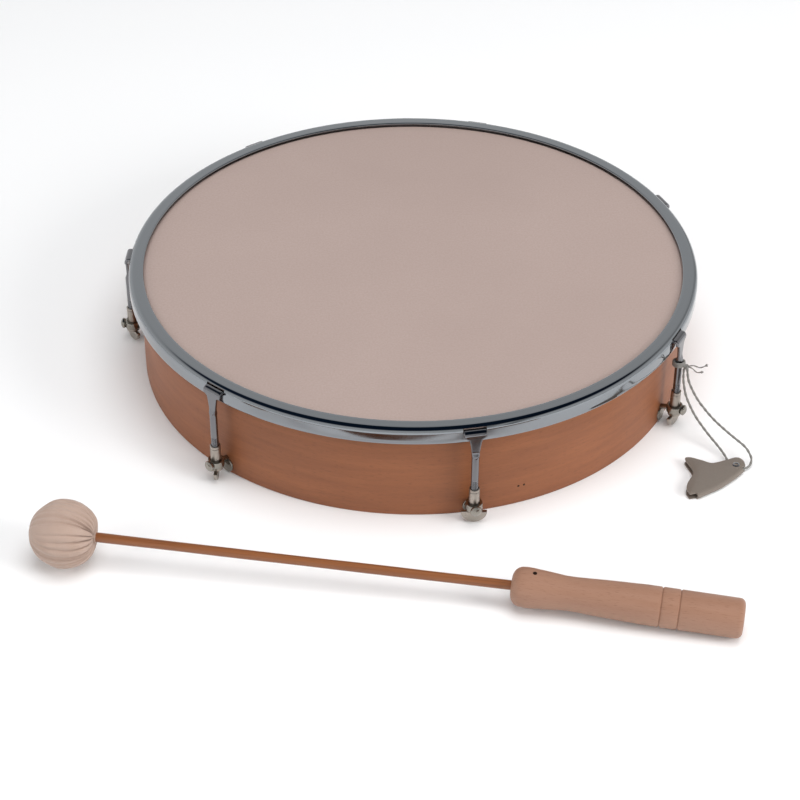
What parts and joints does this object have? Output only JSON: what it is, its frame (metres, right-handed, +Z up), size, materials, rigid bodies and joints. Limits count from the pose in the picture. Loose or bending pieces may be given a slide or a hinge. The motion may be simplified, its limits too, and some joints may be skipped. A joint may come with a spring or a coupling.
{
  "type": "tunable frame drum with beater",
  "caption": "Tunable frame drum: wood shell, skin head, chrome counterhoop drawn down by claw hooks and turned nuts, with a corded tuning key and a cloth-headed beater.",
  "frame": {"origin": "centre of the shell's lower rim plane, on the drum's axis, at the surface that the drum stands on", "axes": "+Z up along the drum's axis through the head; -Y towards the player, where the beater lies; +X to the right"},
  "size_m": [0.3729, 0.4116, 0.06],
  "materials": {
    "shell_ply": "satin varnished ply",
    "brad_steel": "dark steel",
    "head_skin": "matte stretched skin",
    "flesh_hoop_steel": "plain wire",
    "hoop_chrome": "polished",
    "fastener_steel": "zinc plated",
    "bracket_nickel": "nickel plated",
    "nut_nickel": "satin nickel",
    "hook_chrome": "polished",
    "key_steel": "satin plated",
    "cord_grey": "twisted string",
    "core_felt": "pressed felt",
    "beater_cloth": "plain woven cotton",
    "tie_thread": "waxed thread",
    "cane": "satin cane",
    "handle_beech": "smooth raw beech"
  },
  "bodies": {
    "drum": {"shell": "shell_ply", "scarf_brads": "brad_steel", "skin_head": "head_skin", "flesh_hoop": "flesh_hoop_steel", "counterhoop": "hoop_chrome", "bracket_washers": "fastener_steel", "bracket_nuts": "fastener_steel", "bracket_1": "bracket_nickel", "bracket_2": "bracket_nickel", "bracket_3": "bracket_nickel", "bracket_4": "bracket_nickel", "bracket_5": "bracket_nickel", "bracket_6": "bracket_nickel", "bracket_7": "bracket_nickel", "tuning_key": "key_steel", "key_eyelet": "key_steel", "key_cord": "cord_grey", "cord_knot": "cord_grey"},
    "beater": {"beater_core": "core_felt", "beater_cloth": "beater_cloth", "cloth_tie": "tie_thread", "beater_cane": "cane", "beater_handle": "handle_beech", "handle_pin": "brad_steel"},
    "nut_1": {"tension_nut_1": "nut_nickel"},
    "hook_1": {"tension_hook_1": "hook_chrome"},
    "nut_2": {"tension_nut_2": "nut_nickel"},
    "hook_2": {"tension_hook_2": "hook_chrome"},
    "nut_3": {"tension_nut_3": "nut_nickel"},
    "hook_3": {"tension_hook_3": "hook_chrome"},
    "nut_4": {"tension_nut_4": "nut_nickel"},
    "hook_4": {"tension_hook_4": "hook_chrome"},
    "nut_5": {"tension_nut_5": "nut_nickel"},
    "hook_5": {"tension_hook_5": "hook_chrome"},
    "nut_6": {"tension_nut_6": "nut_nickel"},
    "hook_6": {"tension_hook_6": "hook_chrome"},
    "nut_7": {"tension_nut_7": "nut_nickel"},
    "hook_7": {"tension_hook_7": "hook_chrome"}
  },
  "joints": [
    {"name": "nut_1_turn", "type": "hinge", "parent": "drum", "child": "nut_1", "pos_m": [0.03227, -0.15722, 0.0111], "axis": [0, 0, 1], "range_deg": [-360, 0]},
    {"name": "hook_1_lift", "type": "slide", "parent": "drum", "child": "hook_1", "axis": [0, 0, 1], "range_m": [0, 0.0007]},
    {"name": "nut_2_turn", "type": "hinge", "parent": "drum", "child": "nut_2", "pos_m": [0.14304, -0.07279, 0.0111], "axis": [0, 0, 1], "range_deg": [-360, 0]},
    {"name": "hook_2_lift", "type": "slide", "parent": "drum", "child": "hook_2", "axis": [0, 0, 1], "range_m": [0, 0.0007]},
    {"name": "nut_3_turn", "type": "hinge", "parent": "drum", "child": "nut_3", "pos_m": [0.1461, 0.06645, 0.0111], "axis": [0, 0, 1], "range_deg": [-360, 0]},
    {"name": "hook_3_lift", "type": "slide", "parent": "drum", "child": "hook_3", "axis": [0, 0, 1], "range_m": [0, 0.0007]},
    {"name": "nut_4_turn", "type": "hinge", "parent": "drum", "child": "nut_4", "pos_m": [0.03914, 0.15565, 0.0111], "axis": [0, 0, 1], "range_deg": [-360, 0]},
    {"name": "hook_4_lift", "type": "slide", "parent": "drum", "child": "hook_4", "axis": [0, 0, 1], "range_m": [0, 0.0007]},
    {"name": "nut_5_turn", "type": "hinge", "parent": "drum", "child": "nut_5", "pos_m": [-0.09729, 0.12765, 0.0111], "axis": [0, 0, 1], "range_deg": [-360, 0]},
    {"name": "hook_5_lift", "type": "slide", "parent": "drum", "child": "hook_5", "axis": [0, 0, 1], "range_m": [0, 0.0007]},
    {"name": "nut_6_turn", "type": "hinge", "parent": "drum", "child": "nut_6", "pos_m": [-0.16046, 0.00352, 0.0111], "axis": [0, 0, 1], "range_deg": [-360, 0]},
    {"name": "hook_6_lift", "type": "slide", "parent": "drum", "child": "hook_6", "axis": [0, 0, 1], "range_m": [0, 0.0007]},
    {"name": "nut_7_turn", "type": "hinge", "parent": "drum", "child": "nut_7", "pos_m": [-0.1028, -0.12326, 0.0111], "axis": [0, 0, 1], "range_deg": [-360, 0]},
    {"name": "hook_7_lift", "type": "slide", "parent": "drum", "child": "hook_7", "axis": [0, 0, 1], "range_m": [0, 0.0007]},
    {"name": "beater_lift", "type": "slide", "parent": "drum", "child": "beater", "axis": [0, 0, 1], "range_m": [0, 0.15]}
  ],
  "couplings": [
    {"joint": "nut_1_turn", "follows": "hook_1_lift", "rad_per_m": -8975.9},
    {"joint": "nut_2_turn", "follows": "hook_2_lift", "rad_per_m": -8975.9},
    {"joint": "nut_3_turn", "follows": "hook_3_lift", "rad_per_m": -8975.9},
    {"joint": "nut_4_turn", "follows": "hook_4_lift", "rad_per_m": -8975.9},
    {"joint": "nut_5_turn", "follows": "hook_5_lift", "rad_per_m": -8975.9},
    {"joint": "nut_6_turn", "follows": "hook_6_lift", "rad_per_m": -8975.9},
    {"joint": "nut_7_turn", "follows": "hook_7_lift", "rad_per_m": -8975.9}
  ]
}
